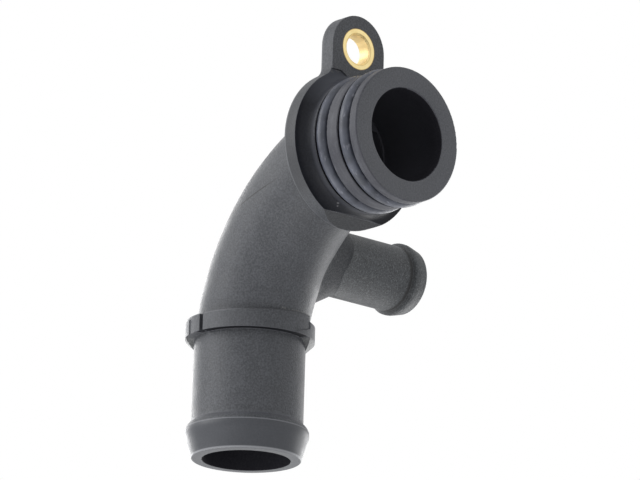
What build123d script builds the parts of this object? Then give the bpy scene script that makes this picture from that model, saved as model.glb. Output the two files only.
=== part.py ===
from build123d import *
import math
import os

# Coolant pipe: a moulded nylon elbow that plugs into an engine casting with a sealed spigot,
# is held by one bolt through a brass sleeve, and takes a hose on its stub and one on its branch.
# Millimetres. The origin is where the spigot's axis crosses the flange's mounting face.
# +X runs out of the spigot's nose, +Y along the side branch, +Z up to the bolt ear.

# Spigot and its two seal rings
spigot_radius = 15.1
spigot_length = 16.9
nose_rounding = 0.4
spigot_wall = 4.75
spigot_bore_depth = 18.4
bore_edge_rounding = 0.3
groove_width = 3.9
groove_edge_rounding = 0.25
rear_groove_start = 3.4
front_groove_start = 10.7
root_fillet = 2.2
ring_cord_diameter = 2.8
ring_stands_proud = 0.35
ring_clearance = 0.02
ring_rear_gap = 0.25

# Flange, bolt ear and brass sleeve
flange_margin = 2.65
flange_thickness = 3.35
foot_bevel = 2.25
bolt_height = 23.0
ear_radius = 7.6
ear_root_fillet = 2.6
ear_pad_start = 17.0
ear_pad_height = 0.3
sleeve_radius = 4.7
sleeve_hole_radius = 3.3
sleeve_chamfer = 0.35
sleeve_seat_clearance = 0.01

# Bend between the flange and the stop collar. Its centreline crosses the mounting face a little
# below the spigot's axis, by bend_meets_flange_low.
bend_radius = 44.1
bend_tube_radius = 12.4
wall_thickness = 2.55
stub_axis_back = 33.2
bend_meets_flange_low = 0.2683
flange_back_fillet = 1.0
bend_inside_spigot = 1.7
passage_overlap = 1.5

# Hose stub below the stop collar
stub_radius = 12.45
stub_end_drop = 65.1
stub_bead_height = 1.35
stub_bead_rise_length = 1.8
stub_bead_rise_arc = 3.0
stub_bead_root_fillet = 0.8
stub_bead_crest_length = 1.0
stub_bead_step_height = 0.45
stub_bead_step_length = 1.1
stub_bead_taper_length = 5.3
stub_end_step = 0.15
end_rounding = 0.4

# Stop collar that the hose is pushed up to
collar_ledge_drop = 38.05
collar_front_height = 4.65
collar_top_tilt = 2.9
collar_front_depth = 1.8
collar_slot_width = 1.2
collar_slot_angle = -91.0
collar_back_depth = 2.0
collar_back_start_angle = 26.0
collar_back_sweep = 212.0
collar_back_crest_height = 3.45
collar_back_bevel_height = 1.9
collar_wing_start_angle = 3.0
collar_wing_sweep = 246.0
collar_wing_rise = 19.0
collar_wing_edge_height = 0.05
collar_bevel_slope = 27.0
collar_block_size = 20.0

# Side branch
branch_bend_angle = 34.8
branch_radius = 7.5
branch_wall = 2.0
branch_length = 39.2
branch_bead_height = 0.8
branch_bead_crest_length = 0.8
branch_bead_rise_length = 0.6
branch_bead_taper_length = 3.1
branch_end_step = 0.1
branch_root_length = 5.0
branch_root_height = 3.1

# Two measures closer than this are the same place
same_place = 0.01

bend_centre_ahead = bend_radius - stub_axis_back
bend_centre_drop = math.sqrt(bend_radius**2 - bend_centre_ahead**2) + bend_meets_flange_low
bend_centre = Vector(bend_centre_ahead, 0, -bend_centre_drop)
passage_radius = bend_tube_radius - wall_thickness
stub_bore_radius = stub_radius - wall_thickness
branch_bore_radius = branch_radius - branch_wall
ring_groove_radius = spigot_radius + ring_stands_proud - ring_cord_diameter - ring_clearance
spigot_bore_radius = spigot_radius - spigot_wall
collar_middle_drop = collar_ledge_drop - collar_front_height / 2
flange_radius = spigot_radius + flange_margin
stub_bead_radius = stub_radius + stub_bead_height
stub_end_radius = stub_radius - stub_end_step
collar_front_radius = stub_radius + collar_front_depth
collar_back_radius = stub_radius + collar_back_depth
branch_bead_radius = branch_radius + branch_bead_height
branch_end_radius = branch_radius + branch_end_step


def point_on_bend(angle):
    """Point of the bend's centreline, by its angle above the level of the bend's centre."""
    turn = math.radians(angle)
    return bend_centre + Vector(-bend_radius * math.cos(turn), 0, bend_radius * math.sin(turn))


def angle_at_depth_behind_flange(x):
    """Angle on the bend where its centreline has this x."""
    return math.degrees(math.acos((bend_centre.X - x) / bend_radius))


def angle_at_level(z):
    """Angle on the bend where its centreline has this z."""
    return math.degrees(math.asin((z - bend_centre.Z) / bend_radius))


def turned_about_spigot_axis(points_and_arcs):
    """Revolve a closed half section, drawn as (x, radius), about the X axis."""
    with BuildPart() as turned:
        with BuildSketch(Plane.XZ) as section:
            with BuildLine():
                points_and_arcs()
            make_face()
        revolve(axis=Axis.X, revolution_arc=360)
    return turned.part


def turned_from_outline(outline, plane, axis):
    """Revolve a closed polyline, given in the plane's own coordinates, about an axis."""
    face = plane * make_face(Polyline(*outline, close=True))
    return revolve(face, axis=axis, revolution_arc=360)


def bend_tube(radius, start_angle, end_angle):
    """A length of round bar that follows the bend."""
    start = point_on_bend(start_angle)
    turn = math.radians(start_angle)
    section_plane = Plane(origin=start, x_dir=(0, 1, 0), z_dir=(math.sin(turn), 0, math.cos(turn)))
    section = section_plane * Circle(radius)
    turn_axis = Axis(bend_centre, (0, 1, 0))
    return revolve(section, axis=turn_axis, revolution_arc=end_angle - start_angle)


def spigot():
    """Solid spigot with two ring grooves, a rounded nose and a fillet at its root."""

    def outline():
        nose = spigot_length
        edge = groove_edge_rounding
        Line((-flange_thickness, 0), (-flange_thickness, spigot_radius + root_fillet))
        Line((-flange_thickness, spigot_radius + root_fillet), (0, spigot_radius + root_fillet))
        RadiusArc((0, spigot_radius + root_fillet), (root_fillet, spigot_radius), -root_fillet)
        land_start = root_fillet
        for start in (rear_groove_start, front_groove_start):
            end = start + groove_width
            Line((land_start, spigot_radius), (start - edge, spigot_radius))
            RadiusArc((start - edge, spigot_radius), (start, spigot_radius - edge), edge)
            Polyline(
                (start, spigot_radius - edge), (start, ring_groove_radius),
                (end, ring_groove_radius), (end, spigot_radius - edge),
            )
            RadiusArc((end, spigot_radius - edge), (end + edge, spigot_radius), edge)
            land_start = end + edge
        Line((land_start, spigot_radius), (nose - nose_rounding, spigot_radius))
        nose_edge = (nose, spigot_radius - nose_rounding)
        RadiusArc((nose - nose_rounding, spigot_radius), nose_edge, nose_rounding)
        Polyline(nose_edge, (nose, 0), (-flange_thickness, 0))

    return turned_about_spigot_axis(outline)


def flange():
    """Round plate with the bolt ear on top and a raised pad on the ear."""
    with BuildPart() as plate:
        with BuildSketch(Plane.YZ.offset(-flange_thickness)) as outline:
            Circle(flange_radius)
            with Locations((0, bolt_height)):
                Circle(ear_radius)
            with Locations((0, bolt_height / 2)):
                Rectangle(2 * ear_radius, bolt_height)
            corners = outline.vertices()
            ear_roots = corners.filter_by(lambda v: same_place < v.Y < bolt_height - same_place)
            fillet(ear_roots, ear_root_fillet)
        extrude(amount=flange_thickness)
        with BuildSketch(Plane.YZ) as pad:
            with Locations((0, bolt_height)):
                Circle(ear_radius)
            with Locations((0, (ear_pad_start + bolt_height) / 2)):
                Rectangle(2 * ear_radius, bolt_height - ear_pad_start)
        extrude(amount=ear_pad_height)
    return plate.part


def foot_bevel_cut():
    """Wedge that bevels the flange's foot and flattens the low edge of the spigot's root fillet."""
    edge_level = -flange_radius + foot_bevel
    bottom = -flange_radius - foot_bevel
    outline = Polyline(
        (0, edge_level), (root_fillet, edge_level), (root_fillet, bottom),
        (-flange_thickness, bottom), (-flange_thickness, -flange_radius), close=True,
    )
    return extrude(Plane.XZ * make_face(outline), amount=flange_radius, both=True)


def sleeve_seat():
    """Hole in the ear that holds the brass sleeve."""
    length = flange_thickness + ear_pad_height
    circle = Circle(sleeve_radius + sleeve_seat_clearance)
    return extrude(Plane.YZ.offset(-flange_thickness) * Pos(0, bolt_height) * circle, amount=length)


def stub():
    """Solid hose stub with its barb, turned about the stub's own axis."""
    end = -stub_end_drop
    crest_end = end + stub_bead_taper_length
    crest_start = crest_end + stub_bead_crest_length
    rise_start = crest_start + stub_bead_rise_length
    step_radius = stub_bead_radius - stub_bead_step_height
    step_end = crest_end - stub_bead_step_length
    top = -collar_middle_drop
    with BuildPart() as turned:
        with BuildSketch(Plane.XZ) as section:
            with BuildLine():
                Polyline((0, top), (stub_radius, top), (stub_radius, rise_start))
                RadiusArc((stub_radius, rise_start), (stub_bead_radius, crest_start), stub_bead_rise_arc)
                Polyline(
                    (stub_bead_radius, crest_start), (stub_bead_radius, crest_end),
                    (step_radius, step_end), (stub_end_radius, end + end_rounding),
                )
                mouth_edge = (stub_end_radius - end_rounding, end)
                RadiusArc((stub_end_radius, end + end_rounding), mouth_edge, end_rounding)
                Polyline(mouth_edge, (0, end), (0, top))
            make_face()
            bead_root = section.vertices().sort_by_distance((stub_radius, rise_start, 0))[0]
            fillet(bead_root, stub_bead_root_fillet)
        revolve(axis=Axis.Z, revolution_arc=360)
    return Pos(-stub_axis_back, 0, 0) * turned.part


def collar_band(radius, crest_height, bevel_height, start_angle, sweep):
    """Part of a turn of the stop collar, centred on its own level."""
    half_crest = crest_height / 2
    half_height = half_crest + bevel_height
    outline = [
        (passage_radius, half_height), (stub_radius, half_height), (radius, half_crest),
        (radius, -half_crest), (stub_radius, -half_height), (passage_radius, -half_height),
    ]
    section = Plane.XZ * make_face(Polyline(*outline, close=True))
    return Rot(0, 0, start_angle) * revolve(section, axis=Axis.Z, revolution_arc=sweep)


def sloping_block(angle, drop, slope, side):
    """Block beside the stub, above (side 1) or below (side -1) a plane that slopes round the stub."""
    block = Pos(stub_radius, 0, side * collar_block_size / 2) * Box(*[collar_block_size] * 3)
    return Rot(0, 0, angle) * Pos(0, 0, -drop) * Rot(slope, 0, 0) * block


def collar_back():
    """Back of the collar: bevelled above and below, with its ends sloped off."""
    band = collar_band(
        collar_back_radius, collar_back_crest_height, collar_back_bevel_height,
        collar_back_start_angle, collar_back_sweep,
    )
    wing = collar_band(
        collar_back_radius, collar_back_crest_height, 0, collar_wing_start_angle, collar_wing_sweep
    )
    level = Pos(0, 0, -collar_ledge_drop + collar_back_crest_height / 2)
    end_angle = collar_back_start_angle + collar_back_sweep
    band = level * band
    band = band - sloping_block(collar_back_start_angle, collar_ledge_drop, -collar_bevel_slope, -1)
    band = band - sloping_block(end_angle, collar_ledge_drop, collar_bevel_slope, -1)
    wing_edge_drop = collar_ledge_drop - collar_wing_edge_height
    wing = level * wing - sloping_block(collar_wing_start_angle, wing_edge_drop, collar_wing_rise, 1)
    return band + wing


def collar():
    """Stop collar: square-edged in front with a tilted top and one slot, bevelled round the back."""
    front_start = collar_back_start_angle + collar_back_sweep
    blank_height = 2 * collar_front_height
    front = collar_band(collar_front_radius, blank_height, 0, front_start, 360 - collar_back_sweep)
    slot = Pos(collar_front_radius, 0, 0) * Box(2 * collar_front_depth, collar_slot_width, blank_height)
    front = front - Rot(0, 0, collar_slot_angle) * slot
    above_top = Pos(0, 0, collar_block_size) * Box(*[2 * collar_block_size] * 3)
    front = front - Rot(collar_top_tilt, 0, 0) * above_top
    front = Pos(0, 0, -collar_ledge_drop + collar_front_height) * front
    return Pos(-stub_axis_back, 0, 0) * (collar_back() + front)


def branch():
    """Solid side branch with a bead at its end."""
    place = point_on_bend(branch_bend_angle)
    end = branch_length
    crest_end = end - branch_bead_taper_length
    crest_start = crest_end - branch_bead_crest_length
    bead_start = crest_start - branch_bead_rise_length
    outline = [
        (0, 0), (branch_radius, 0), (branch_radius, bead_start), (branch_bead_radius, crest_start),
        (branch_bead_radius, crest_end), (branch_end_radius, end - end_rounding),
        (branch_end_radius - end_rounding, end), (0, end),
    ]
    solid = turned_from_outline(outline, Plane.XY, Axis.Y)
    return Pos(place.X, 0, place.Z) * solid


def passages():
    """Everything the coolant flows through: spigot bore, bend, stub bore and branch bore."""
    bottom_of_bore = spigot_length - spigot_bore_depth
    bore = Plane.YZ.offset(bottom_of_bore) * Circle(spigot_bore_radius)
    spigot_bore = extrude(bore, amount=spigot_bore_depth)
    bend = bend_tube(passage_radius, 0, angle_at_depth_behind_flange(bottom_of_bore + passage_overlap))
    stub_bore_face = Plane.XY.offset(-stub_end_drop) * Pos(-stub_axis_back, 0) * Circle(stub_bore_radius)
    stub_bore = extrude(stub_bore_face, amount=stub_end_drop - bend_centre_drop)
    place = point_on_bend(branch_bend_angle)
    branch_bore_face = Plane.XZ * Pos(place.X, place.Z) * Circle(branch_bore_radius)
    branch_bore = extrude(branch_bore_face, amount=-branch_length)
    return [spigot_bore, bend, stub_bore, branch_bore]


def bend_with_branch():
    """The bend's outside with the branch standing on a bevelled root."""
    collar_angle = angle_at_level(-collar_middle_drop)
    flange_angle = angle_at_depth_behind_flange(bend_inside_spigot)
    tube = bend_tube(bend_tube_radius, collar_angle, flange_angle)
    middle_of_plate = Plane.YZ.offset(-flange_thickness / 2)
    solid = split(tube, bisect_by=middle_of_plate, keep=Keep.BOTTOM) + branch()
    place = point_on_bend(branch_bend_angle)

    def lies_on_join(edge):
        point = edge @ 0.5
        off_axis = math.hypot(point.X - place.X, point.Z - place.Z)
        return math.isclose(off_axis, branch_radius, abs_tol=same_place) and 0 < point.Y < bend_tube_radius

    def is_branch_side(face):
        return face.geom_type == GeomType.CYLINDER and face.center().Y > bend_tube_radius

    branch_side = solid.faces().filter_by(is_branch_side)[0]
    join = solid.edges().filter_by(lies_on_join)
    return chamfer(join, branch_root_length, branch_root_height, reference=branch_side)


def pipe_body():
    """The whole nylon moulding."""
    plate_with_bend = bend_with_branch() + flange()

    def lies_behind_flange(edge):
        point = edge @ 0.5
        on_back_face = abs(point.X + flange_thickness) < same_place
        return on_back_face and math.hypot(point.Y, point.Z) < flange_radius - same_place

    back_edges = plate_with_bend.edges().filter_by(lies_behind_flange)
    body = fillet(back_edges, flange_back_fillet) + spigot() - foot_bevel_cut()
    body = body + stub() + collar()
    for passage in passages():
        body = body - passage

    def is_spigot_mouth(edge):
        at_nose = abs(edge.center().X - spigot_length) < same_place
        return at_nose and edge.radius < spigot_bore_radius + same_place

    body = fillet(body.edges().filter_by(GeomType.CIRCLE).filter_by(is_spigot_mouth), bore_edge_rounding)
    return body - sleeve_seat()


def bolt_sleeve():
    """Brass sleeve that takes the bolt's clamping load."""
    back = -flange_thickness
    front = ear_pad_height
    outline = [
        (back, sleeve_hole_radius + sleeve_chamfer), (back, sleeve_radius), (front, sleeve_radius),
        (front, sleeve_hole_radius + sleeve_chamfer), (front - sleeve_chamfer, sleeve_hole_radius),
        (back + sleeve_chamfer, sleeve_hole_radius),
    ]
    sleeve = turned_from_outline(outline, Plane.XZ, Axis.X)
    return Pos(0, 0, bolt_height) * sleeve


def seal_ring(groove_start):
    """Rubber ring, stretched over the groove's floor and lying near the groove's rear wall."""
    cord_radius = ring_cord_diameter / 2
    centre_x = groove_start + ring_rear_gap + cord_radius
    centre_radius = ring_groove_radius + ring_clearance + cord_radius
    cord = Plane.XZ * Pos(centre_x, centre_radius) * Circle(cord_radius)
    return revolve(cord, axis=Axis.X, revolution_arc=360)


parts = {
    "pipe_body": pipe_body(),
    "bolt_sleeve": bolt_sleeve(),
    "rear_seal_ring": seal_ring(rear_groove_start),
    "front_seal_ring": seal_ring(front_groove_start),
}

os.makedirs("parts", exist_ok=True)
for name, shape in parts.items():
    solids = shape.solids()
    print(name, "solids", len(solids), "volume", round(shape.volume, 1), "valid", shape.is_valid)
    export_step(solids[0] if len(solids) == 1 else shape, f"parts/{name}.step")
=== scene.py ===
# %% [markdown]
# # A moulded coolant pipe
# The real object is a black nylon elbow from an engine's cooling system. Its spigot plugs into the engine
# with two rubber rings, one bolt holds it through a brass sleeve, and hoses go on the stub and the branch.
# The solid model of it is already packed as a frame. This lesson gives it its finishes, its light and its
# camera. Everything is in metres, with the origin where the spigot's axis crosses the mounting face.

# %% Load the fixed frame
import math

import bmesh
import bpy
from mathutils import Euler, Matrix, Vector


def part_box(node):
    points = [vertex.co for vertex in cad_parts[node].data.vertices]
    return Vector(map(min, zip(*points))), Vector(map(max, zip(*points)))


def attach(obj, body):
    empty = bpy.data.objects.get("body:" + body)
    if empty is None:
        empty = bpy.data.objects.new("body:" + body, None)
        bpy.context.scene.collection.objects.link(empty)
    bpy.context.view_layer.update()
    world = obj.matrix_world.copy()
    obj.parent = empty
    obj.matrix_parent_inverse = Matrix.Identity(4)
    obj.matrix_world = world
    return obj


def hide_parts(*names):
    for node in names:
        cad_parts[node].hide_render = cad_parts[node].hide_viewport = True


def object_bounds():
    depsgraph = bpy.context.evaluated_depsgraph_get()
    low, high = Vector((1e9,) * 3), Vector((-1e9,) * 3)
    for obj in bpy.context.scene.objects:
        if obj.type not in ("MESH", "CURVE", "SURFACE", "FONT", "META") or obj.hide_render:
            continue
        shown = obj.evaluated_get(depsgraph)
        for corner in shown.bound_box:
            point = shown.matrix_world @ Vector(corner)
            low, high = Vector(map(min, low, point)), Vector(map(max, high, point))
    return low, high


MM = 0.001
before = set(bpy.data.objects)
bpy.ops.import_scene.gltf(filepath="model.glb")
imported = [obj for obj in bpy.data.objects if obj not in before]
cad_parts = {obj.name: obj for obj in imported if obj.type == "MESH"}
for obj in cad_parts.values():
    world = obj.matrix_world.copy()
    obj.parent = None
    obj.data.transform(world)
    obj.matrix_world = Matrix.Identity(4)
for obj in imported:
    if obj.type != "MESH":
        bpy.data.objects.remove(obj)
cad_low, cad_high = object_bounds()
print("nodes", sorted(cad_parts))
print("box in mm", [round(v / MM, 2) for v in cad_high - cad_low])

# %% [markdown]
# ## The camera
# The photograph looks up at the pipe from the front right, from more than a metre away, so lines that are
# parallel on the pipe stay almost parallel in the picture. The place, the turn and the long lens were
# worked out from the spigot's circles and the two hose ends, which all had to land on their pixels at once.

# %% Place the camera
PICTURE_WIDTH = 640
FOCAL_LENGTH_IN_PIXELS = 5500.0
SENSOR_WIDTH = 36.0
CAMERA_PLACE = Vector((863.08, -774.73, -345.63)) * MM
CAMERA_TURN = [math.radians(angle) for angle in (105.646, -1.6095, 47.988)]
NEAREST_SEEN = 0.05
FARTHEST_SEEN = 60.0

lens = bpy.data.cameras.new("long_lens")
lens.sensor_width = SENSOR_WIDTH
lens.lens = FOCAL_LENGTH_IN_PIXELS / PICTURE_WIDTH * SENSOR_WIDTH
lens.clip_start = NEAREST_SEEN
lens.clip_end = FARTHEST_SEEN
camera = bpy.data.objects.new("camera", lens)
camera.matrix_world = Matrix.Translation(CAMERA_PLACE) @ Euler(CAMERA_TURN, "XYZ").to_matrix().to_4x4()
bpy.context.scene.collection.objects.link(camera)
bpy.context.scene.camera = camera
print("lens", round(lens.lens, 1), "mm, distance", round(CAMERA_PLACE.length, 3), "m")

# %% [markdown]
# ## One line for each shader node
# A finish in Blender is a net of nodes joined by wires. Made by hand, each node takes a click for itself
# and one for each wire. In a script one short helper does all of it: it adds a node, sets what it is told
# and joins its inputs. A plain number goes on the input itself, and only what changes over the surface is
# wired.

# %% Make the helper that adds a node


def wire(tree, kind, inputs=(), **settings):
    """Adds one shader node. An input is given as a plain value or as the socket that feeds it."""
    made = tree.nodes.new(kind)
    for name, value in settings.items():
        setattr(made, name, value)
    for name, value in dict(inputs).items():
        if isinstance(value, bpy.types.NodeSocket):
            tree.links.new(value, made.inputs[name])
        else:
            made.inputs[name].default_value = value
    return made


print("one helper for every node:", wire.__name__)

# %% [markdown]
# ## The light tent
# The pipe was lit inside a white tent: light comes from nearly everywhere, so shadows are soft, and every
# edge that turns away from the camera picks up a pale rim from the tent's walls. A world that shines
# evenly does the same. The camera, and whatever mirrors or lets light through, sees it as white paper. The
# light that it throws on dull surfaces is a separate number, a little lower, so that it can be tuned
# without greying the background.

# %% Make the world a white tent
TENT_LIGHT = 0.9
PAPER_LIGHT = 1.0
WHITE = (1.0, 1.0, 1.0, 1.0)

world = bpy.data.worlds.new("light_tent")
world.use_nodes = True
bpy.context.scene.world = world
sky = world.node_tree
sky.nodes.clear()
rays = wire(sky, "ShaderNodeLightPath").outputs
straight = wire(sky, "ShaderNodeMath", {0: rays["Is Camera Ray"], 1: rays["Is Transmission Ray"]},
                operation="MAXIMUM")
seen = wire(sky, "ShaderNodeMath", {0: straight.outputs[0], 1: rays["Is Glossy Ray"]}, operation="MAXIMUM")
walls = wire(sky, "ShaderNodeBackground", {"Color": WHITE, "Strength": TENT_LIGHT})
paper = wire(sky, "ShaderNodeBackground", {"Color": WHITE, "Strength": PAPER_LIGHT})
choice = wire(sky, "ShaderNodeMixShader", {0: seen.outputs[0], 1: walls.outputs[0], 2: paper.outputs[0]})
wire(sky, "ShaderNodeOutputWorld", {"Surface": choice.outputs[0]})
print("tent lit at", TENT_LIGHT, "and seen at", PAPER_LIGHT)

# %% [markdown]
# ## The lamps
# A tent alone leaves black nylon flat. One wide panel at the left front shapes the bend, one lies under it
# for the surfaces that look down, and two stand behind the pipe. Those two graze its outlines, and that is
# where the photograph has its pale rims. All are large and soft, so none of them draws a hard highlight.

# %% Hang the lamps
PIPE_MIDDLE = (cad_low + cad_high) / 2
# For each lamp: its place and its width in metres, and its power in watts.
LAMPS = {
    "left_panel": ((-0.35, -0.55, 0.25), 0.5, 3.0),
    "under_panel": ((-0.10, -0.15, -0.385), 0.55, 1.4),
    "left_rim": ((-0.65, 0.17, 0.08), 0.4, 3.0),
    "right_rim": ((-0.20, 0.62, -0.12), 0.4, 2.6),
}


def hang_lamp(name, place, target, size, power):
    """A square soft lamp that faces a point."""
    data = bpy.data.lights.new(name, "AREA")
    data.shape = "SQUARE"
    data.size = size
    data.energy = power
    lamp = bpy.data.objects.new(name, data)
    lamp.visible_camera = False
    lamp.location = place
    lamp.rotation_euler = (Vector(target) - Vector(place)).to_track_quat("-Z", "Y").to_euler()
    bpy.context.scene.collection.objects.link(lamp)


for lamp_name, (lamp_place, lamp_size, lamp_power) in LAMPS.items():
    hang_lamp(lamp_name, lamp_place, PIPE_MIDDLE, lamp_size, lamp_power)
print("lamps", sorted(lamp.name for lamp in bpy.data.lights))

# %% [markdown]
# ## The floor
# The camera looks upward, so the table under the tent is out of its picture. It is still there: it throws
# pale light up at the pipe, and it shows when the pipe is looked at from above. It lies lower than the
# camera, because a floor between the two would hide the pipe.

# %% Lay the floor
FLOOR_LEVEL = -0.42
FLOOR_HALF_WIDTH = 3.0
FLOOR_PAINT = (0.8, 0.8, 0.8, 1.0)
FLOOR_ROUGHNESS = 0.9

floor_mesh = bpy.data.meshes.new("pale_floor")
signs = [(-1, -1), (1, -1), (1, 1), (-1, 1)]
corners = [(x * FLOOR_HALF_WIDTH, y * FLOOR_HALF_WIDTH, FLOOR_LEVEL) for x, y in signs]
floor_mesh.from_pydata(corners, [], [(0, 1, 2, 3)])
floor = bpy.data.objects.new("pale_floor", floor_mesh)
bpy.context.scene.collection.objects.link(floor)
floor_paint = bpy.data.materials.new("pale_floor")
floor_paint.use_nodes = True
paint_inputs = floor_paint.node_tree.nodes["Principled BSDF"].inputs
paint_inputs["Base Color"].default_value = FLOOR_PAINT
paint_inputs["Roughness"].default_value = FLOOR_ROUGHNESS
floor_mesh.materials.append(floor_paint)
print("floor", round(-FLOOR_LEVEL / MM), "mm below the spigot's axis")

# %% [markdown]
# ## Tools that mix colours
# Black nylon is never one flat black. Light and dark vary over it in two sizes: a fine grain from the
# tool's spark-eroded steel, and slow clouds where the melt cooled unevenly. Both are noise, mixed with a few
# small tools. Pictures of the surface could do the same, but noise has no seams and needs no unwrapping.

# %% Make the tools that mix colours


def new_finish(name):
    material = bpy.data.materials.new(name)
    material.use_nodes = True
    material.node_tree.nodes.clear()
    return material, material.node_tree


def blend(tree, factor, under, over):
    """Mixes two colours. Each is a socket or three plain numbers."""
    mix = wire(tree, "ShaderNodeMix", {"Factor": factor}, data_type="RGBA")
    for socket, colour in (("A", under), ("B", over)):
        if isinstance(colour, bpy.types.NodeSocket):
            tree.links.new(colour, mix.inputs[socket])
        else:
            mix.inputs[socket].default_value = (*colour, 1.0)
    return mix.outputs["Result"]


def spread(tree, value, low, high, start=0.0, end=1.0):
    """Maps a number from the range low to high onto the range start to end."""
    return wire(tree, "ShaderNodeMapRange", {0: value, 1: low, 2: high, 3: start, 4: end}).outputs[0]


def times(tree, first, second):
    return wire(tree, "ShaderNodeMath", {0: first, 1: second}, operation="MULTIPLY").outputs[0]


def paint(tree, where, strength, under, over):
    """Lays a colour over another one where a mask is 1, as thickly as the strength says."""
    return blend(tree, times(tree, where, strength), under, over)


def speckle(tree, place, per_metre, detail=2.0):
    """Noise between 0 and 1, with so many blotches in a metre."""
    noise = wire(tree, "ShaderNodeTexNoise", {"Vector": place, "Scale": per_metre, "Detail": detail})
    return noise.outputs["Fac"]


print("tools:", [tool.__name__ for tool in (blend, spread, times, paint, speckle)])

# %% [markdown]
# ## Tools that find a place
# A parting line or a worn edge sits at one place of the pipe. A mask finds it by distance: from a point,
# from a plane, or from a line along X. Each mask is 1 at the place and fades to 0 beside it. That way a mark
# costs no extra faces, and the shape of the moulding stays as it is. Levels, radii and places are given in
# millimetres here, as they were measured.

# %% Make the tools that find a place
# The inner share of a spot or a line that has the full colour.
SPOT_CORE = 0.6
LINE_CORE = 0.3
UPWARD = (0.0, 0.0, 1.0)
FORWARD = (1.0, 0.0, 0.0)
ALONG_BRANCH = (0.0, 1.0, 0.0)
ACROSS_X = Vector((0.0, 1.0, 1.0))


def axes_of(tree, place):
    return wire(tree, "ShaderNodeSeparateXYZ", {0: place}).outputs


def spot(tree, place, centre, radius):
    """1 inside a small ball, 0 outside it."""
    gap = wire(tree, "ShaderNodeVectorMath", {0: place, 1: Vector(centre) * MM}, operation="DISTANCE")
    return spread(tree, gap.outputs["Value"], radius * MM, SPOT_CORE * radius * MM)


def near_plane(tree, place, normal, level, half_width):
    """1 on a plane, fading to 0 a short way on either side of it."""
    height = wire(tree, "ShaderNodeVectorMath", {0: place, 1: Vector(normal)}, operation="DOT_PRODUCT")
    off = wire(tree, "ShaderNodeMath", {0: height.outputs["Value"], 1: level * MM}, operation="SUBTRACT")
    gap = wire(tree, "ShaderNodeMath", {0: off.outputs[0]}, operation="ABSOLUTE")
    return spread(tree, gap.outputs[0], half_width * MM, LINE_CORE * half_width * MM)


def draw_line(tree, place, colour, tint, normal, level, half_width, strength):
    """Lays a tint where a plane cuts the surface."""
    line = near_plane(tree, place, normal, level, half_width)
    return paint(tree, line, strength, colour, tint)


def between(tree, value, levels, start=0.0, end=1.0):
    """The start value at the first level and the end value at the second, both levels in millimetres."""
    first, second = levels
    return spread(tree, value, first * MM, second * MM, start, end)


def off_x_axis(tree, place, level):
    """How far a place is from a line that runs along X at this level, in metres."""
    axis_place = Vector((0.0, 0.0, level))
    lowered = wire(tree, "ShaderNodeVectorMath", {0: place, 1: axis_place}, operation="SUBTRACT")
    flat = wire(tree, "ShaderNodeVectorMath", {0: lowered.outputs[0], 1: ACROSS_X}, operation="MULTIPLY")
    return wire(tree, "ShaderNodeVectorMath", {0: flat.outputs[0]}, operation="LENGTH").outputs["Value"]


print("masks:", [mask.__name__ for mask in (spot, near_plane, between, off_x_axis)])

# %% [markdown]
# ## Marks on the bead and the stop collar
# The edge of the stub's bead gets a painted highlight, and a fainter one lies on the slope that leads up to
# it. The collar's top edge gets a painted highlight on its left part and painted shade on the right. Each
# mark here is one mask and one colour, laid over the colour below it, the way a painter would glaze it.

# %% Mark the bead and the stop collar
# A pale grey for painted highlights, on the edges of the nylon and on the bead's slope.
PALE_NYLON_HIGHLIGHT = (0.075, 0.078, 0.090)
# The pale colour of the painted highlight on the bead's crest.
BEAD_CREST_HIGHLIGHT = (0.13, 0.135, 0.15)
COLLAR_FRONT_GREY = (0.085, 0.088, 0.097)
# The collar's top edge: a painted highlight on the left and painted shade on the right.
COLLAR_EDGE_HIGHLIGHT = (0.120, 0.124, 0.135)
COLLAR_SHADED = (0.012, 0.013, 0.016)
BEAD_EDGE_LEVEL = -58.65
BEAD_SLOPE_LEVEL = -57.2
COLLAR_BOTTOM = (-38.3, -38.0)
COLLAR_UPPER_EDGE = (-32.9, -33.3)
COLLAR_FRONT = (-20, -25)
COLLAR_LEFT = (-22, -27)
COLLAR_TOP_NORMAL = (0.0, -0.0506, 0.9987)
COLLAR_TOP_LEVEL = -33.36


def bead_highlights(tree, place, colour):
    """Painted highlights: a pale one on the bead's crest, and a fainter band on the slope that leads up to
    it.
    """
    colour = draw_line(tree, place, colour, BEAD_CREST_HIGHLIGHT, UPWARD, BEAD_EDGE_LEVEL, half_width=0.22, strength=0.8)
    return draw_line(tree, place, colour, PALE_NYLON_HIGHLIGHT, UPWARD, BEAD_SLOPE_LEVEL, half_width=0.9, strength=0.4)


def collar_highlight_and_shade(tree, place, colour):
    """A slightly paler front, and a top edge with a painted highlight on the left and painted shade on the
    right.
    """
    axes = axes_of(tree, place)
    band = times(tree, between(tree, axes["Z"], COLLAR_BOTTOM), between(tree, axes["Z"], COLLAR_UPPER_EDGE))
    front = times(tree, band, between(tree, axes["X"], COLLAR_FRONT))
    colour = paint(tree, front, 0.22, colour, COLLAR_FRONT_GREY)
    edge = blend(tree, between(tree, axes["X"], COLLAR_LEFT), COLLAR_SHADED, COLLAR_EDGE_HIGHLIGHT)
    return draw_line(tree, place, colour, edge, COLLAR_TOP_NORMAL, COLLAR_TOP_LEVEL,
                     half_width=0.3, strength=0.75)


print("worn edges at z", BEAD_EDGE_LEVEL, "and", COLLAR_TOP_LEVEL, "mm")
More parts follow.
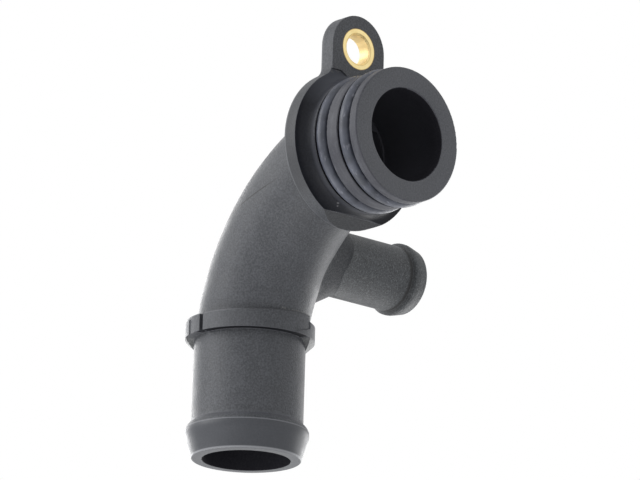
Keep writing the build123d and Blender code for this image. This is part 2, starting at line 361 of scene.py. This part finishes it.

# %% [markdown]
# ## Marks on the flange and the bend
# The tool that made the pipe came apart in several slides. Where two of them met, a hairline runs over the
# flank of the bend, and one slide left a nick by the collar. The flange's rim is darker, and its back edge
# gets a painted highlight. The real line is a few hundredths of a millimetre high, too low to be worth any
# faces.

# %% Mark the flange and the bend
RIM_RADII = (17.5, 17.7)
RIM_LOWER_END = (-14, -11)
RIM_UPPER_END = (14, 3)
RIM_BACK = (-3.5, -3.3)
RIM_EDGE_LEVEL = -3.2
RIM_EDGE_FADE = (-13, -5)
PARTING_NORMAL = (-0.29, 0.0, 1.0)
PARTING_LEVEL = -3.6
FLANK_SIDE = (-7.6, -9.0)
FLANK_START = (-11, -16)
NICK_PLACE = (-25.44, 10.46, -39.41)
NICK_RADIUS = 0.7
# A darker grey for the flange's rim, and the pale colour of the painted highlight on its back edge.
RIM_DARKER_GREY = (0.020, 0.0215, 0.0255)
RIM_EDGE_HIGHLIGHT = (0.13, 0.135, 0.145)
LINE_BLACK = (0.004, 0.004, 0.005)
NICK_BLACK = (0.003, 0.003, 0.003)


def mark_rim_and_edge_highlight(tree, place, colour):
    """A darker rim on the flange's side, and a painted highlight on its back edge that fades out downward."""
    axes = axes_of(tree, place)
    on_rim = between(tree, off_x_axis(tree, place, 0.0), RIM_RADII)
    height = times(tree, between(tree, axes["Z"], RIM_LOWER_END), between(tree, axes["Z"], RIM_UPPER_END))
    darker_rim = times(tree, times(tree, height, between(tree, axes["X"], RIM_BACK)), on_rim)
    colour = paint(tree, darker_rim, 0.75, colour, RIM_DARKER_GREY)
    edge = times(tree, near_plane(tree, place, FORWARD, RIM_EDGE_LEVEL, half_width=0.28), on_rim)
    fading = times(tree, edge, between(tree, axes["Z"], RIM_EDGE_FADE, start=0.15, end=0.65))
    return blend(tree, fading, colour, RIM_EDGE_HIGHLIGHT)


def part_slides(tree, place, colour):
    """The dark hairline on the bend's flank and the nick by the collar."""
    axes = axes_of(tree, place)
    line = near_plane(tree, place, PARTING_NORMAL, PARTING_LEVEL, half_width=0.21)
    on_flank = times(tree, between(tree, axes["Y"], FLANK_SIDE), between(tree, axes["X"], FLANK_START))
    colour = paint(tree, line, on_flank, colour, LINE_BLACK)
    return blend(tree, spot(tree, place, NICK_PLACE, NICK_RADIUS), colour, NICK_BLACK)


MOULDING_MARKS = (bead_highlights, collar_highlight_and_shade, mark_rim_and_edge_highlight, part_slides)
print("marks on the moulding:", [mark.__name__ for mark in MOULDING_MARKS])

# %% [markdown]
# ## Marks on the smaller surfaces
# The mounting face has painted shade that grows lighter towards the ear, and crumbs of flash from the mould
# lie on it. Glass fibre shows through the branch as specks, and painted shade lies at the foot of its bead.
# The mouth of the stub gets a painted highlight, rings rub the lands of the spigot as they slide over them,
# and coolant leaves a film inside it.

# %% Mark the smaller surfaces
SEAT_TOWARDS_EAR = (7, 14)
SEAT_FIRST_LAND = (1.9, 2.7)
FLASH_CRUMBS = (((1.67, -6.03, -13.91), 0.34), ((1.04, -5.6, -14.38), 0.24), ((0.1, -14.5, 6.8), 0.25))
FIBRE_SPECKS_PER_METRE = 3000.0
BRANCH_BEAD_FOOT = 34.3
LIP_EDGE_LEVEL = -64.82
FILM_FROM_NOSE = (14, -1)
FILM_FROM_BEND = (-24, -14)
RUBBING_PER_METRE = 210.0
RUBBING_STRETCH = Vector((4.0, 1.0, 1.0))
# The seat's painted shade is lighter towards the ear and on the first land.
EAR_SIDE_LESS_SHADE = (0.058, 0.062, 0.075)
FIRST_LAND_LESS_SHADE = (0.034, 0.036, 0.044)
FLASH_GREY = (0.085, 0.086, 0.092)
FIBRE_GREY = (0.088, 0.094, 0.099)
# Painted shade at the foot of the branch's bead.
BEAD_FOOT_SHADE = (0.006, 0.006, 0.007)
# The pale colour of the painted highlight on the stub's mouth.
LIP_EDGE_HIGHLIGHT = (0.20, 0.205, 0.22)
FILM_GREY = (0.070, 0.072, 0.086)
RUBBED_LAND = (0.090, 0.094, 0.108)


def mark_seat(tree, place, colour):
    """Painted shade that is lighter towards the ear and on the first land, with three crumbs of flash that
    were left there.
    """
    axes = axes_of(tree, place)
    colour = blend(tree, between(tree, axes["Z"], SEAT_TOWARDS_EAR, end=0.85), colour, EAR_SIDE_LESS_SHADE)
    colour = blend(tree, between(tree, axes["X"], SEAT_FIRST_LAND, end=0.8), colour, FIRST_LAND_LESS_SHADE)
    for centre, radius in FLASH_CRUMBS:
        colour = blend(tree, spot(tree, place, centre, radius), colour, FLASH_GREY)
    return colour


def mark_branch(tree, place, colour):
    """Pale specks of glass fibre, and painted shade at the foot of the bead."""
    specks = speckle(tree, place, FIBRE_SPECKS_PER_METRE, detail=1.0)
    colour = blend(tree, spread(tree, specks, low=0.56, high=0.70), colour, FIBRE_GREY)
    return draw_line(tree, place, colour, BEAD_FOOT_SHADE, ALONG_BRANCH, BRANCH_BEAD_FOOT,
                     half_width=0.8, strength=0.9)


def lip_highlight(tree, place, colour):
    """A painted highlight on the outer edge of the stub's mouth."""
    return draw_line(tree, place, colour, LIP_EDGE_HIGHLIGHT, UPWARD, LIP_EDGE_LEVEL, half_width=0.3, strength=0.9)


def leave_film(tree, place, colour):
    """A thin pale film, thickest where the spigot opens into the bend."""
    depth = axes_of(tree, place)["X"]
    inner = times(tree, between(tree, depth, FILM_FROM_NOSE), between(tree, depth, FILM_FROM_BEND))
    return paint(tree, inner, 0.75, colour, FILM_GREY)


def rub_lands(tree, place, colour):
    """Faint pale rubbing that runs round the lands of the spigot."""
    stretched = wire(tree, "ShaderNodeVectorMath", {0: place, 1: RUBBING_STRETCH}, operation="MULTIPLY")
    cloud = speckle(tree, stretched.outputs[0], RUBBING_PER_METRE, detail=5.0)
    return paint(tree, spread(tree, cloud, low=0.48, high=0.74), 0.55, colour, RUBBED_LAND)


print("crumbs of flash", len(FLASH_CRUMBS), "and specks at", FIBRE_SPECKS_PER_METRE, "per metre")

# %% [markdown]
# ## One recipe for all the nylon
# The tool's steel was spark-eroded where hoses and hands go, which leaves an even grain of about four tenths
# of a millimetre. Seats and beads were left smoother. One recipe makes them all: two noises give the colour,
# the fine one also gives the bump, and edges are rounded, because a moulding has no truly sharp corner, and
# painted paler as a highlight with a little wear. The bevel is worked out by the shader, so the mesh keeps
# its edges and no face is added.

# %% Write the recipe
EDGE_RADIUS = 0.25 * MM
EDGE_SAMPLES = 6
GRAIN_PER_METRE = 2600.0
MOTTLE_PER_METRE = 240.0
MOTTLE_DETAIL = 4.0
MOTTLE_RANGE = (0.3, 0.7)
GRAIN_SHARE = 0.75
DARK_TO_PALE = (0.38, 0.66)
# The cosine between the flat and the rounded surface, where the edge starts and where it is full.
EDGE_TURN = (0.995, 0.90)
ROUGHNESS_SWING = 0.05


def nylon(name, dark, pale, roughness, grain_height, gloss=0.5, edge_wear_and_highlight=PALE_NYLON_HIGHLIGHT, marks=()):
    """One nylon finish: mottled colour, grained or smooth, rounded edges painted paler as highlight and wear,
    and its marks.
    """
    material, tree = new_finish(name)
    place = wire(tree, "ShaderNodeTexCoord").outputs["Object"]
    mottle = speckle(tree, place, MOTTLE_PER_METRE, MOTTLE_DETAIL)
    grain = speckle(tree, place, GRAIN_PER_METRE)
    mixed = wire(tree, "ShaderNodeMix", {"Factor": GRAIN_SHARE, "A": mottle, "B": grain}).outputs["Result"]
    colour = blend(tree, spread(tree, mixed, *DARK_TO_PALE), dark, pale)
    for mark in marks:
        colour = mark(tree, place, colour)
    rounded = wire(tree, "ShaderNodeBevel", {"Radius": EDGE_RADIUS}, samples=EDGE_SAMPLES).outputs[0]
    flat = wire(tree, "ShaderNodeNewGeometry").outputs["Normal"]
    alike = wire(tree, "ShaderNodeVectorMath", {0: rounded, 1: flat}, operation="DOT_PRODUCT")
    # The edges get a paler colour: a painted highlight, with a little wear.
    edge = spread(tree, alike.outputs["Value"], *EDGE_TURN)
    bump = wire(tree, "ShaderNodeBump", {"Height": grain, "Distance": grain_height, "Normal": rounded})
    rough, smooth = roughness + ROUGHNESS_SWING, roughness - ROUGHNESS_SWING
    shader = wire(tree, "ShaderNodeBsdfPrincipled", {
        "Base Color": blend(tree, edge, colour, edge_wear_and_highlight),
        "Roughness": spread(tree, mottle, *MOTTLE_RANGE, smooth, rough),
        "Normal": bump.outputs[0],
    })
    shader.inputs["Specular IOR Level"].default_value = gloss
    wire(tree, "ShaderNodeOutputMaterial", {"Surface": shader.outputs[0]})
    return material


print("grain", round(1 / GRAIN_PER_METRE / MM, 2), "mm, edge radius", EDGE_RADIUS / MM, "mm")

# %% [markdown]
# ## The twelve nylon finishes
# Nylon is dark but never black: its colour is a blue grey of two to six per cent. The skin of the bend and
# the stub is grained, the bead and the lands are smooth, and the nose is paler. The stub's lip is painted
# paler still, as painted light on its end face. The ring grooves and the passage are darkest, as little light
# gets into them. The mounting face was the smoothest steel of the tool. Its near-black colour is painted
# shade from the spigot, and it has a low gloss here because all that it mirrors is the dark spigot.

# %% Mix the nylon finishes
# Each finish: the dark and the pale colour, the roughness, the height of the grain, then what else differs.
# The edge colours given here are painted highlights, with a little wear.
FINISHES = {
    "grained": nylon("grained_nylon", (0.026, 0.0285, 0.034), (0.060, 0.0635, 0.0725), 0.55, 0.09 * MM,
                     marks=MOULDING_MARKS),
    "smooth": nylon("smooth_nylon", (0.031, 0.034, 0.041), (0.038, 0.041, 0.049), 0.50, 0.008 * MM,
                    marks=[lip_highlight]),
    # The lip is painted paler than the rest: painted light on the stub's end face.
    "lip": nylon("lip_nylon", (0.068, 0.071, 0.078), (0.094, 0.097, 0.106), 0.55, 0.01 * MM),
    "hip": nylon("hip_nylon", (0.060, 0.063, 0.066), (0.160, 0.163, 0.165), 0.60, 0.08 * MM,
                 marks=MOULDING_MARKS),
    "land": nylon("land_nylon", (0.030, 0.031, 0.040), (0.045, 0.047, 0.058), 0.55, 0.012 * MM,
                  gloss=0.4, marks=[rub_lands]),
    "foot": nylon("foot_nylon", (0.014, 0.015, 0.0175), (0.032, 0.0345, 0.0395), 0.60, 0.04 * MM, gloss=0.3),
    "branch": nylon("branch_nylon", (0.019, 0.0212, 0.0242), (0.055, 0.060, 0.0665), 0.60, 0.11 * MM,
                    edge_wear_and_highlight=(0.055, 0.060, 0.066), marks=[mark_branch]),
    "branch_root": nylon("branch_root_nylon", (0.018, 0.0195, 0.0225), (0.053, 0.056, 0.062), 0.66, 0.10 * MM,
                         gloss=0.17, edge_wear_and_highlight=(0.07, 0.073, 0.078)),
    "nose": nylon("nose_nylon", (0.042, 0.045, 0.053), (0.068, 0.071, 0.082), 0.50, 0.03 * MM,
                  edge_wear_and_highlight=(0.15, 0.155, 0.17)),
    # The seat's near-black colour is painted shade from the spigot that stands over the mounting face.
    "seat": nylon("seat_nylon", (0.0105, 0.0113, 0.0145), (0.0150, 0.0161, 0.0205), 0.45, 0.006 * MM,
                  gloss=0.12, marks=[mark_seat]),
    "gap": nylon("gap_nylon", (0.006, 0.006, 0.008), (0.010, 0.010, 0.013), 0.6, 0.006 * MM, gloss=0.1),
    "passage": nylon("passage_nylon", (0.012, 0.012, 0.016), (0.018, 0.018, 0.022), 0.7, 0.006 * MM,
                     gloss=0.1, edge_wear_and_highlight=(0.03, 0.03, 0.035), marks=[leave_film]),
}
print(len(FINISHES), "finishes:", list(FINISHES))

# %% [markdown]
# ## A mesh that can be shaded smooth
# The frame's mesh is never edited. A second mesh with the same corners takes its place. Corners that lie in
# one spot are joined, round surfaces are shaded smooth, and a crease stays wherever two faces meet at more
# than 28 degrees. Shading costs no faces, where finer facets would cost many.

# %% Copy the moulding and shade it smooth
CREASE = math.radians(28)
SAME_SPOT = 0.0005 * MM


def copy_of(node, name):
    """A new object with the same corners as a node of the frame, joined up and shaded smooth."""
    form = bmesh.new()
    form.from_mesh(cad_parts[node].data)
    bmesh.ops.remove_doubles(form, verts=form.verts, dist=SAME_SPOT)
    form.verts.index_update()
    places = [vert.co.copy() for vert in form.verts]
    faces = [[vert.index for vert in face.verts] for face in form.faces]
    form.free()
    mesh = bpy.data.meshes.new(name)
    mesh.from_pydata(places, [], faces)
    mesh.shade_smooth()
    mesh.set_sharp_from_angle(angle=CREASE)
    copy = bpy.data.objects.new(name, mesh)
    bpy.context.scene.collection.objects.link(copy)
    return copy


moulding = copy_of("pipe_body", "moulding")
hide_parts("pipe_body")
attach(moulding, "root")
for finish in FINISHES.values():
    moulding.data.materials.append(finish)
print("moulding has", len(moulding.data.polygons), "faces")

# %% [markdown]
# ## Where the surfaces lie
# One moulding carries twelve finishes, so each of its faces has to be told which one it wears. Faces picked
# by hand, thousands of them, would have to be picked again after each change of shape. A few sizes from the
# solid model do it instead: the distance of a face's middle from an axis says whether it is a bore, a land
# or a seat.

# %% Measure from the axes of the pipe
BEND_CENTRE = Vector((10.9, 0.0, -43.0)) * MM
BEND_RADIUS = 44.1 * MM
STUB_AXIS_X = -33.2 * MM
BRANCH_AXIS = Vector((-25.313, 0.0, -17.832)) * MM
NEAR = 0.06 * MM


def off_spigot(p):
    return math.hypot(p.y, p.z)


def off_stub(p):
    return math.hypot(p.x - STUB_AXIS_X, p.y)


def off_branch(p):
    return math.hypot(p.x - BRANCH_AXIS.x, p.z - BRANCH_AXIS.z)


def off_bend(p):
    return math.hypot(math.hypot(p.x - BEND_CENTRE.x, p.z - BEND_CENTRE.z) - BEND_RADIUS, p.y)


def round_stub(p):
    """The angle round the stub's axis in degrees, 0 where the spigot's nose points."""
    return math.degrees(math.atan2(p.y, p.x - STUB_AXIS_X))


print("the stub's axis is", round(-STUB_AXIS_X / MM, 1), "mm behind the mounting face")

# %% [markdown]
# ### Inside the pipe
# Coolant touches the walls of the spigot's bore, the bend, the stub and the branch. They are one passage on
# the real part, so one finish covers them. The first three are told apart by where along X and Z they lie.

# %% Tell the passage
SPIGOT_BORE_RADIUS = 10.35 * MM
SPIGOT_BORE_START = -1.6 * MM
NOSE = 16.9 * MM
PASSAGE_RADIUS = 9.85 * MM
BRANCH_BORE_RADIUS = 5.5 * MM


def lies_in_passage(p):
    """True for the walls that the coolant touches."""
    in_spigot = SPIGOT_BORE_START < p.x < NOSE - NEAR and off_spigot(p) < SPIGOT_BORE_RADIUS + NEAR
    in_bend = p.z > BEND_CENTRE.z and off_bend(p) < PASSAGE_RADIUS + 2 * NEAR and p.x < NEAR
    in_stub = p.z < BEND_CENTRE.z + NEAR and off_stub(p) < PASSAGE_RADIUS + 2 * NEAR
    in_branch = p.y > 0 and off_branch(p) < BRANCH_BORE_RADIUS + NEAR
    return in_spigot or in_bend or in_stub or in_branch


bore_radii = (SPIGOT_BORE_RADIUS, PASSAGE_RADIUS, BRANCH_BORE_RADIUS)
print("bore radii in mm", [round(radius / MM, 2) for radius in bore_radii])

# %% [markdown]
# ### The spigot and the flange
# The spigot steps down from the mounting face in lands, with a ring groove between each two of them. The
# foot of the flange is cut off at a slant. Its face is flat and tilted, so its normal tells it apart.

# %% Tell the seat, the grooves, the lands and the foot
# FACES_FORWARD and SQUARE_ON are the least share of a face's normal that points along the axis.
SPIGOT_RADIUS = 15.1 * MM
FLANGE_RADIUS = 17.75 * MM
ROOT_LAND_END = 3.45 * MM
ROOT_FILLET_RADIUS = 17.35 * MM
EAR_PAD_HEIGHT = 0.3 * MM
FRONT_LAND_WIDTH = 2 * MM
GROOVE_LEAST_DEPTH = 0.3 * MM
WALL_BELOW_GROOVE = 1 * MM
FACES_FORWARD = 0.9
SQUARE_ON = 0.99
FOOT_TOP = -14 * MM
FOOT_SPAN = (-3.4 * MM, 0.1 * MM)
FOOT_LEAN = (0.4, 0.7)


def lies_on_seat(p, normal):
    """True for the round mounting face, the root of the spigot and its first land."""
    on_face = abs(p.x) < NEAR and normal.x > FACES_FORWARD and off_spigot(p) < FLANGE_RADIUS
    on_root = NEAR < p.x < ROOT_LAND_END and SPIGOT_RADIUS - NEAR < off_spigot(p) < ROOT_FILLET_RADIUS
    on_pad = abs(p.x - EAR_PAD_HEIGHT) < NEAR and normal.x > SQUARE_ON
    return on_face or (on_root and not on_pad)


def lies_in_groove(p):
    """True for the floor and the walls of the two ring grooves."""
    in_reach = SPIGOT_BORE_RADIUS + WALL_BELOW_GROOVE < off_spigot(p) < SPIGOT_RADIUS - GROOVE_LEAST_DEPTH
    return in_reach and ROOT_LAND_END - NEAR < p.x < NOSE - FRONT_LAND_WIDTH


def lies_on_land(p, normal):
    """True for the round surfaces of the spigot between its root and its nose."""
    return ROOT_LAND_END < p.x < NOSE and off_spigot(p) > SPIGOT_BORE_RADIUS and normal.x < FACES_FORWARD


def lies_on_foot(p, normal):
    """True for the flat bevel at the flange's foot."""
    leans = normal.z < -FOOT_LEAN[1] and FOOT_LEAN[0] < normal.x < FOOT_LEAN[1]
    return leans and p.z < FOOT_TOP and FOOT_SPAN[0] < p.x < FOOT_SPAN[1]


print("spigot", round(2 * SPIGOT_RADIUS / MM, 1), "mm across, flange", round(2 * FLANGE_RADIUS / MM, 1), "mm")

# %% [markdown]
# ### The stub, its collar and the branch
# A hose is pushed up to the collar. The collar's underside lies in deep shade along its front, and the
# bright table lights the slanted ends of its back from below. The branch grows from the bend on a bevelled
# root, which is duller than the branch because no hose ever polishes it.

# %% Tell the collar and the branch
STUB_RADIUS = 12.5 * MM
COLLAR_REACH = 3 * MM
COLLAR_TOP = -32.6 * MM
COLLAR_LEDGE = -38.05 * MM
COLLAR_FOOT = -40.1 * MM
LEDGE_ANGLES = (-97, 20)
HIP_ANGLES = (-150, 60)
HIP_LEAST_SLOPE = 0.3
STUB_BEAD_CREST = -58.75 * MM
STUB_END = -65.1 * MM
BEND_TUBE_RADIUS = 12.4 * MM
BRANCH_ROOT_RADIUS = 11.5 * MM
BRANCH_ROOT_START = 5.0 * MM
BRANCH_ROOT_END = 17.4 * MM


def lies_on_collar(p):
    return COLLAR_FOOT < p.z < COLLAR_TOP and STUB_RADIUS < off_stub(p) < STUB_RADIUS + COLLAR_REACH


def lies_on_dark_ledge(p, normal):
    """True for the underside of the collar along its front, which lies in deep shade."""
    on_ledge = lies_on_collar(p) and normal.z < -SQUARE_ON and abs(p.z - COLLAR_LEDGE) < NEAR
    return on_ledge and LEDGE_ANGLES[0] < round_stub(p) < LEDGE_ANGLES[1]


def lies_on_hip(p, normal):
    """True for the sloping ends of the collar's back, which the bright table lights from below."""
    slopes = -SQUARE_ON < normal.z < -HIP_LEAST_SLOPE
    return lies_on_collar(p) and slopes and HIP_ANGLES[0] < round_stub(p) < HIP_ANGLES[1]


def lies_on_branch(p):
    """True for the branch, the bevelled root that it stands on, and its bead."""
    clear_of_bend = off_bend(p) > BEND_TUBE_RADIUS + NEAR
    return p.y > BRANCH_ROOT_START and off_branch(p) < BRANCH_ROOT_RADIUS and clear_of_bend


print("collar from z", round(COLLAR_FOOT / MM, 1), "to", round(COLLAR_TOP / MM, 1), "mm")

# %% [markdown]
# ### Giving each face its finish
# Some surfaces lie within the reach of more than one test, so the order counts: the narrow tests come first,
# and what none of them claims is the grained skin. The counts show at once when a test claims too much.

# %% Give each face its finish


def finish_of(p, normal):
    if lies_in_passage(p):
        return "passage"
    if lies_on_seat(p, normal):
        return "seat"
    if lies_on_dark_ledge(p, normal) or lies_in_groove(p):
        return "gap"
    if lies_on_branch(p):
        return "branch_root" if p.y < BRANCH_ROOT_END else "branch"
    if lies_on_foot(p, normal):
        return "foot"
    if lies_on_land(p, normal):
        return "land"
    if lies_on_hip(p, normal):
        return "hip"
    if p.z < STUB_END + NEAR:
        return "lip"
    if p.x > NOSE - NEAR:
        return "nose"
    if p.z < STUB_BEAD_CREST:
        return "smooth"
    return "grained"


slots = {name: number for number, name in enumerate(FINISHES)}
counts = dict.fromkeys(FINISHES, 0)
for face in moulding.data.polygons:
    chosen = finish_of(face.center, face.normal)
    face.material_index = slots[chosen]
    counts[chosen] += 1
print("faces of each finish:", counts)

# %% [markdown]
# ## Turning a shape
# Rings and sleeves are round because they were turned or moulded about one axis. The same works here: a
# closed section is spun about its axis in small steps. A ready-made ring shape would do for the seals, but
# not for the sleeve with its chamfers, and one way for both is easier to follow.

# %% Make the turning tool


def turned(name, section, steps, axis_point, axis):
    """Turns a closed section about an axis through a point."""
    form = bmesh.new()
    corners = [form.verts.new(p) for p in section]
    edges = [form.edges.new((corner, corners[(i + 1) % len(corners)])) for i, corner in enumerate(corners)]
    bmesh.ops.spin(form, geom=corners + edges, cent=axis_point, axis=axis, angle=math.tau, steps=steps,
                   use_merge=True)
    bmesh.ops.remove_doubles(form, verts=form.verts, dist=SAME_SPOT)
    bmesh.ops.recalc_face_normals(form, faces=form.faces)
    mesh = bpy.data.meshes.new(name)
    form.to_mesh(mesh)
    form.free()
    mesh.shade_smooth()
    mesh.set_sharp_from_angle(angle=CREASE)
    made = bpy.data.objects.new(name, mesh)
    bpy.context.scene.collection.objects.link(made)
    return made


print("corners closer than", SAME_SPOT / MM, "mm are joined")

# %% [markdown]
# ## The rubber of the rings
# Seal rings are black rubber that has bloomed: wax comes to the surface and turns it bluish. Where a ring
# rubbed in a bore it has pale scuffs, which run round it. Noise that is squeezed along the spigot's axis
# gives streaks of that kind. The same noise makes the scuffs rougher and lifts them a hundredth of a
# millimetre.

# %% Mix the rubber
BLOOM_PER_METRE = 300.0
SCUFFS_PER_METRE = 520.0
SCUFF_STRETCH = Vector((3.0, 1.0, 1.0))
SCUFF_HEIGHT = 0.012 * MM
BLOOM_RANGE = (0.36, 0.66)
SCUFF_RANGE = (0.60, 0.76)
RUBBER_DARK = (0.031, 0.035, 0.048)
RUBBER_BLOOM = (0.066, 0.073, 0.098)
RUBBER_SCUFF = (0.17, 0.176, 0.21)
RUBBER_GLOSS = 0.5


def ring_finish():
    """Satin rubber with a bluish bloom and pale scuffs that run round the ring."""
    material, tree = new_finish("ring_rubber")
    place = wire(tree, "ShaderNodeTexCoord").outputs["Object"]
    stretched = wire(tree, "ShaderNodeVectorMath", {0: place, 1: SCUFF_STRETCH}, operation="MULTIPLY")
    bloom = speckle(tree, place, BLOOM_PER_METRE, detail=5.0)
    scuff = speckle(tree, stretched.outputs[0], SCUFFS_PER_METRE, detail=4.0)
    colour = blend(tree, spread(tree, bloom, *BLOOM_RANGE), RUBBER_DARK, RUBBER_BLOOM)
    colour = blend(tree, spread(tree, scuff, *SCUFF_RANGE), colour, RUBBER_SCUFF)
    bump = wire(tree, "ShaderNodeBump", {"Height": scuff, "Distance": SCUFF_HEIGHT})
    roughness = spread(tree, scuff, low=0.35, high=0.65, start=0.40, end=0.55)
    shader = wire(tree, "ShaderNodeBsdfPrincipled",
                  {"Base Color": colour, "Roughness": roughness, "Normal": bump.outputs[0]})
    shader.inputs["Specular IOR Level"].default_value = RUBBER_GLOSS
    wire(tree, "ShaderNodeOutputMaterial", {"Surface": shader.outputs[0]})
    return material


ring_rubber = ring_finish()
print("scuffs", SCUFFS_PER_METRE, "per metre on", ring_rubber.name)

# %% [markdown]
# ## The seal rings
# Each ring is a cord of rubber, moulded as a circle. It lies near the rear wall of its groove and stands a
# third of a millimetre proud. The frame's rings have the right place and size, so their boxes give the new
# rings theirs, and a finer turned form keeps the highlight on them unbroken.

# %% Turn the rings
RING_STEPS = 180
CORD_STEPS = 36
RINGS = {"rear_seal_ring": "rear_ring", "front_seal_ring": "front_ring"}

turns = [math.tau * i / CORD_STEPS for i in range(CORD_STEPS)]
for node, name in RINGS.items():
    low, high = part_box(node)
    cord_radius = (high.x - low.x) / 2
    ring_radius = high.z - cord_radius
    middle = (low.x + high.x) / 2
    offsets = [(cord_radius * math.cos(turn), cord_radius * math.sin(turn)) for turn in turns]
    section = [(middle + ahead, 0.0, ring_radius + outward) for ahead, outward in offsets]
    ring = turned(name, section, RING_STEPS, (0, 0, 0), FORWARD)
    ring.data.materials.append(ring_rubber)
    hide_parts(node)
    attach(ring, "root")
    print(name, "cord", round(2 * cord_radius / MM, 2), "mm at x", round(middle / MM, 2))

# %% [markdown]
# ## The brass of the sleeve
# A lathe leaves fine rings on a sleeve's end face and in its hole, and handling dulls the brass. A thin brown
# line runs where the sleeve meets the nylon and, fainter, at the mouth of the hole. The hole is a little
# darker than the face. Metal shows its colour only in what it mirrors, so its base colour is bright, and a
# high roughness spreads the white of the tent over all of it.

# %% Mix the brass
SLEEVE_HOLE = 3.3 * MM
SLEEVE_CHAMFER = 0.35 * MM
HOLE_WALL = (SLEEVE_HOLE + 0.1 * MM, SLEEVE_HOLE + 0.05 * MM)
# A thin brown line where the sleeve meets the nylon and at the mouth of the hole.
DARK_LINE_BROWN = (0.42, 0.27, 0.08)
DARK_LINE_HALF_WIDTH = 0.12 * MM
DARK_LINE_AT_HOLE = 0.3
DARK_LINE_AT_NYLON = 0.8
CLOUDS_PER_METRE = 500.0
CLOUD_RANGE = (0.35, 0.65)
FACE_BRASS = ((0.90, 0.72, 0.35), (0.98, 0.84, 0.46))
HOLE_BRASS = ((0.72, 0.56, 0.28), (0.88, 0.73, 0.41))
LATHE_RINGS_SCALE = 1200.0
LATHE_WOBBLE = 2.5
LATHE_RINGS_HEIGHT = 0.004 * MM
BRASS_EDGE_RADIUS = 0.15 * MM


def brass_finish(bolt_level, sleeve_radius):
    """Turned brass, a little dulled, with the lathe's fine rings."""
    material, tree = new_finish("turned_brass")
    place = wire(tree, "ShaderNodeTexCoord").outputs["Object"]
    cloud = speckle(tree, place, CLOUDS_PER_METRE, detail=4.0)
    face = blend(tree, spread(tree, cloud, *CLOUD_RANGE), *FACE_BRASS)
    bored = blend(tree, spread(tree, cloud, *CLOUD_RANGE), *HOLE_BRASS)
    off_axis = off_x_axis(tree, place, bolt_level)
    colour = blend(tree, spread(tree, off_axis, *HOLE_WALL), face, bored)
    for radius, strength in ((SLEEVE_HOLE + SLEEVE_CHAMFER, DARK_LINE_AT_HOLE), (sleeve_radius, DARK_LINE_AT_NYLON)):
        edge = wire(tree, "ShaderNodeMath", {0: off_axis, 1: radius, 2: DARK_LINE_HALF_WIDTH},
                    operation="COMPARE")
        colour = paint(tree, edge.outputs[0], strength, colour, DARK_LINE_BROWN)
    turning = {"Vector": place, "Scale": LATHE_RINGS_SCALE, "Distortion": LATHE_WOBBLE}
    lathe = wire(tree, "ShaderNodeTexWave", turning, wave_type="RINGS", rings_direction="X").outputs["Fac"]
    rounded = wire(tree, "ShaderNodeBevel", {"Radius": BRASS_EDGE_RADIUS}, samples=EDGE_SAMPLES).outputs[0]
    bump = wire(tree, "ShaderNodeBump", {"Height": lathe, "Distance": LATHE_RINGS_HEIGHT, "Normal": rounded})
    roughness = spread(tree, cloud, low=0.3, high=0.7, start=0.50, end=0.64)
    shader = wire(tree, "ShaderNodeBsdfPrincipled",
                  {"Base Color": colour, "Roughness": roughness, "Normal": bump.outputs[0]})
    shader.inputs["Metallic"].default_value = 1.0
    wire(tree, "ShaderNodeOutputMaterial", {"Surface": shader.outputs[0]})
    return material


print("hole", round(2 * SLEEVE_HOLE / MM, 1), "mm across")

# %% [markdown]
# ## The brass sleeve
# The bolt would crush bare nylon, so it clamps on a turned brass sleeve. The sleeve is turned here in the
# same way as on the lathe: one section with a chamfer at each mouth of the hole, spun about its axis.

# %% Turn the sleeve
SLEEVE_STEPS = 128

sleeve_low, sleeve_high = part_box("bolt_sleeve")
sleeve_radius = (sleeve_high.y - sleeve_low.y) / 2
bolt_level = (sleeve_low.z + sleeve_high.z) / 2
hole_mouth = SLEEVE_HOLE + SLEEVE_CHAMFER
half_section = [
    (sleeve_low.x, hole_mouth),
    (sleeve_low.x, sleeve_radius),
    (sleeve_high.x, sleeve_radius),
    (sleeve_high.x, hole_mouth),
    (sleeve_high.x - SLEEVE_CHAMFER, SLEEVE_HOLE),
    (sleeve_low.x + SLEEVE_CHAMFER, SLEEVE_HOLE),
]
lifted = [(x, 0.0, bolt_level + radius) for x, radius in half_section]
sleeve = turned("sleeve", lifted, SLEEVE_STEPS, (0, 0, bolt_level), FORWARD)
sleeve.data.materials.append(brass_finish(bolt_level, sleeve_radius))
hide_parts("bolt_sleeve")
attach(sleeve, "root")
print("sleeve", round(2 * sleeve_radius / MM, 2), "mm across, at z", round(bolt_level / MM, 2))

# %% [markdown]
# ## Standard colours
# The picture is shown without any film look, so a colour renders as it is written.

# %% Show colours as they are
bpy.context.scene.view_settings.view_transform = "Standard"
